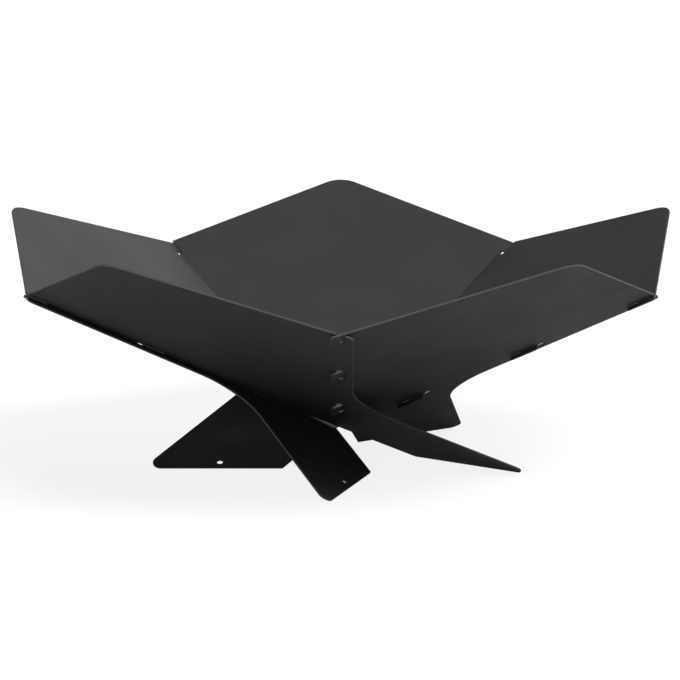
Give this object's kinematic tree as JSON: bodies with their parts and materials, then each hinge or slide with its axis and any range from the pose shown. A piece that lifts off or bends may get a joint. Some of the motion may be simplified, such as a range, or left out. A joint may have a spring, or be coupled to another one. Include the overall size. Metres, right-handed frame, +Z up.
{
  "type": "fire basket",
  "caption": "Plug-together fire basket of flat sheet steel: an open five-sided bowl of hooked kite-shaped sheets, each with its own leg.",
  "frame": {"origin": "on the ground, at the middle of the basket's outer box seen from above; the bowl's own axis stands 17 mm towards -Y from it", "axes": "+Z up; +X to the right and +Y to the back for someone who faces the seam between the two front sheets, which lies in the X = 0 plane"},
  "size_m": [0.6714, 0.6682, 0.2383],
  "materials": {
    "front_left_sheet": "matte black powder coat",
    "front_right_sheet": "matte black powder coat",
    "right_sheet": "matte black powder coat",
    "back_sheet": "matte black powder coat",
    "left_sheet": "matte black powder coat"
  },
  "bodies": {
    "root": {"front_left_sheet": "front_left_sheet", "front_right_sheet": "front_right_sheet", "right_sheet": "right_sheet", "back_sheet": "back_sheet", "left_sheet": "left_sheet"}
  },
  "joints": []
}
